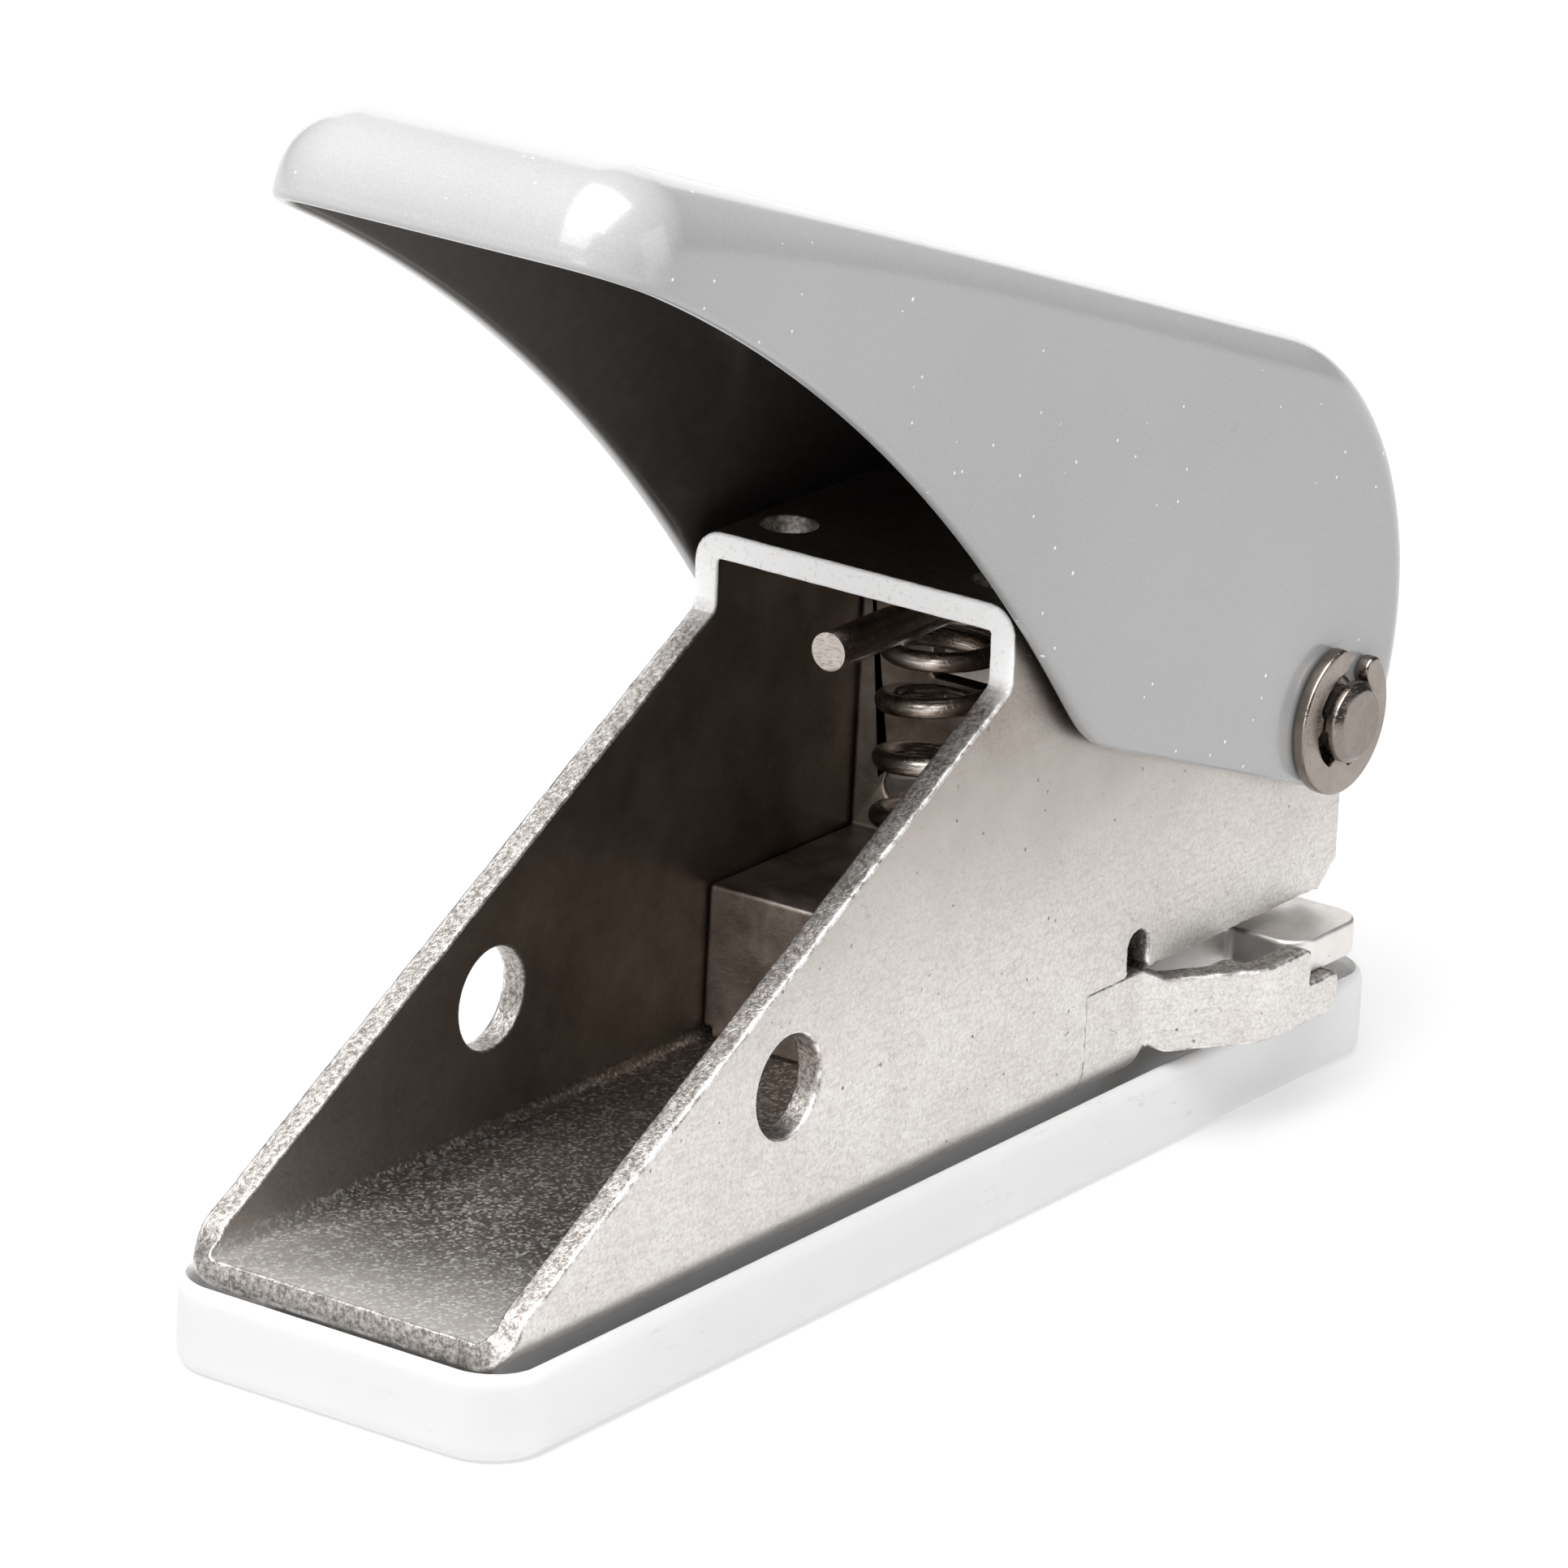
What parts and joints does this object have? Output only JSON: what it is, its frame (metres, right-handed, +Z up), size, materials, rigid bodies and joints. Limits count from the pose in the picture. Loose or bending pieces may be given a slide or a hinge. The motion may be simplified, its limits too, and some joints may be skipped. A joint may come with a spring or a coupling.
{
  "type": "hole punch",
  "caption": "Hand-squeezed one-hole paper punch: folded steel frame on a plastic chip tray, pressed steel lever on a rear hinge pin, spring-lifted punch pin over a die plate.",
  "frame": {"origin": "on the tray's flat underside, at the middle of the whole object's outline", "axes": "+X from the low ramp end towards the hinge and the paper throat, +Y across, +Z up"},
  "size_m": [0.108, 0.0374, 0.0855],
  "materials": {
    "white_plastic": "satin",
    "nickel_sheet": "satin",
    "rivet_steel": "satin",
    "bush_brass": "satin",
    "tool_steel": "ground",
    "spring_steel": "polished",
    "dark_nickel": "polished",
    "white_paint": "gloss"
  },
  "bodies": {
    "tray": {"chip_tray": "white_plastic"},
    "frame_body": {"frame": "nickel_sheet", "spring_bracket": "nickel_sheet", "bracket_rivets": "rivet_steel", "guide_bracket": "nickel_sheet", "guide_rivets": "rivet_steel", "guide_bush": "bush_brass", "die_plate": "tool_steel", "die_rivets": "rivet_steel", "spring_seat": "rivet_steel", "return_spring": "spring_steel", "hinge_pin": "dark_nickel", "hinge_washers": "rivet_steel", "e_clips": "dark_nickel"},
    "punch": {"punch_pin": "tool_steel", "lift_rod": "spring_steel", "rod_clip": "spring_steel"},
    "lever": {"lever_shell": "white_paint"}
  },
  "joints": [
    {"name": "tray_release", "type": "slide", "parent": "tray", "child": "frame_body", "axis": [0, 0, 1], "range_m": [0, 0.012]},
    {"name": "lever_hinge", "type": "hinge", "parent": "frame_body", "child": "lever", "pos_m": [0.0425, 0, 0.0285], "axis": [0, -1, 0], "range_deg": [0, 19.8], "stiffness_Nm_per_rad": 0.52, "springref_deg": -13.18},
    {"name": "punch_slide", "type": "slide", "parent": "frame_body", "child": "punch", "axis": [0, 0, -1], "range_m": [0, 0.00524], "deforming": ["return_spring"]}
  ],
  "couplings": [
    {"joint": "punch_slide", "follows": "lever_hinge", "m_per_rad": 0.015156}
  ]
}
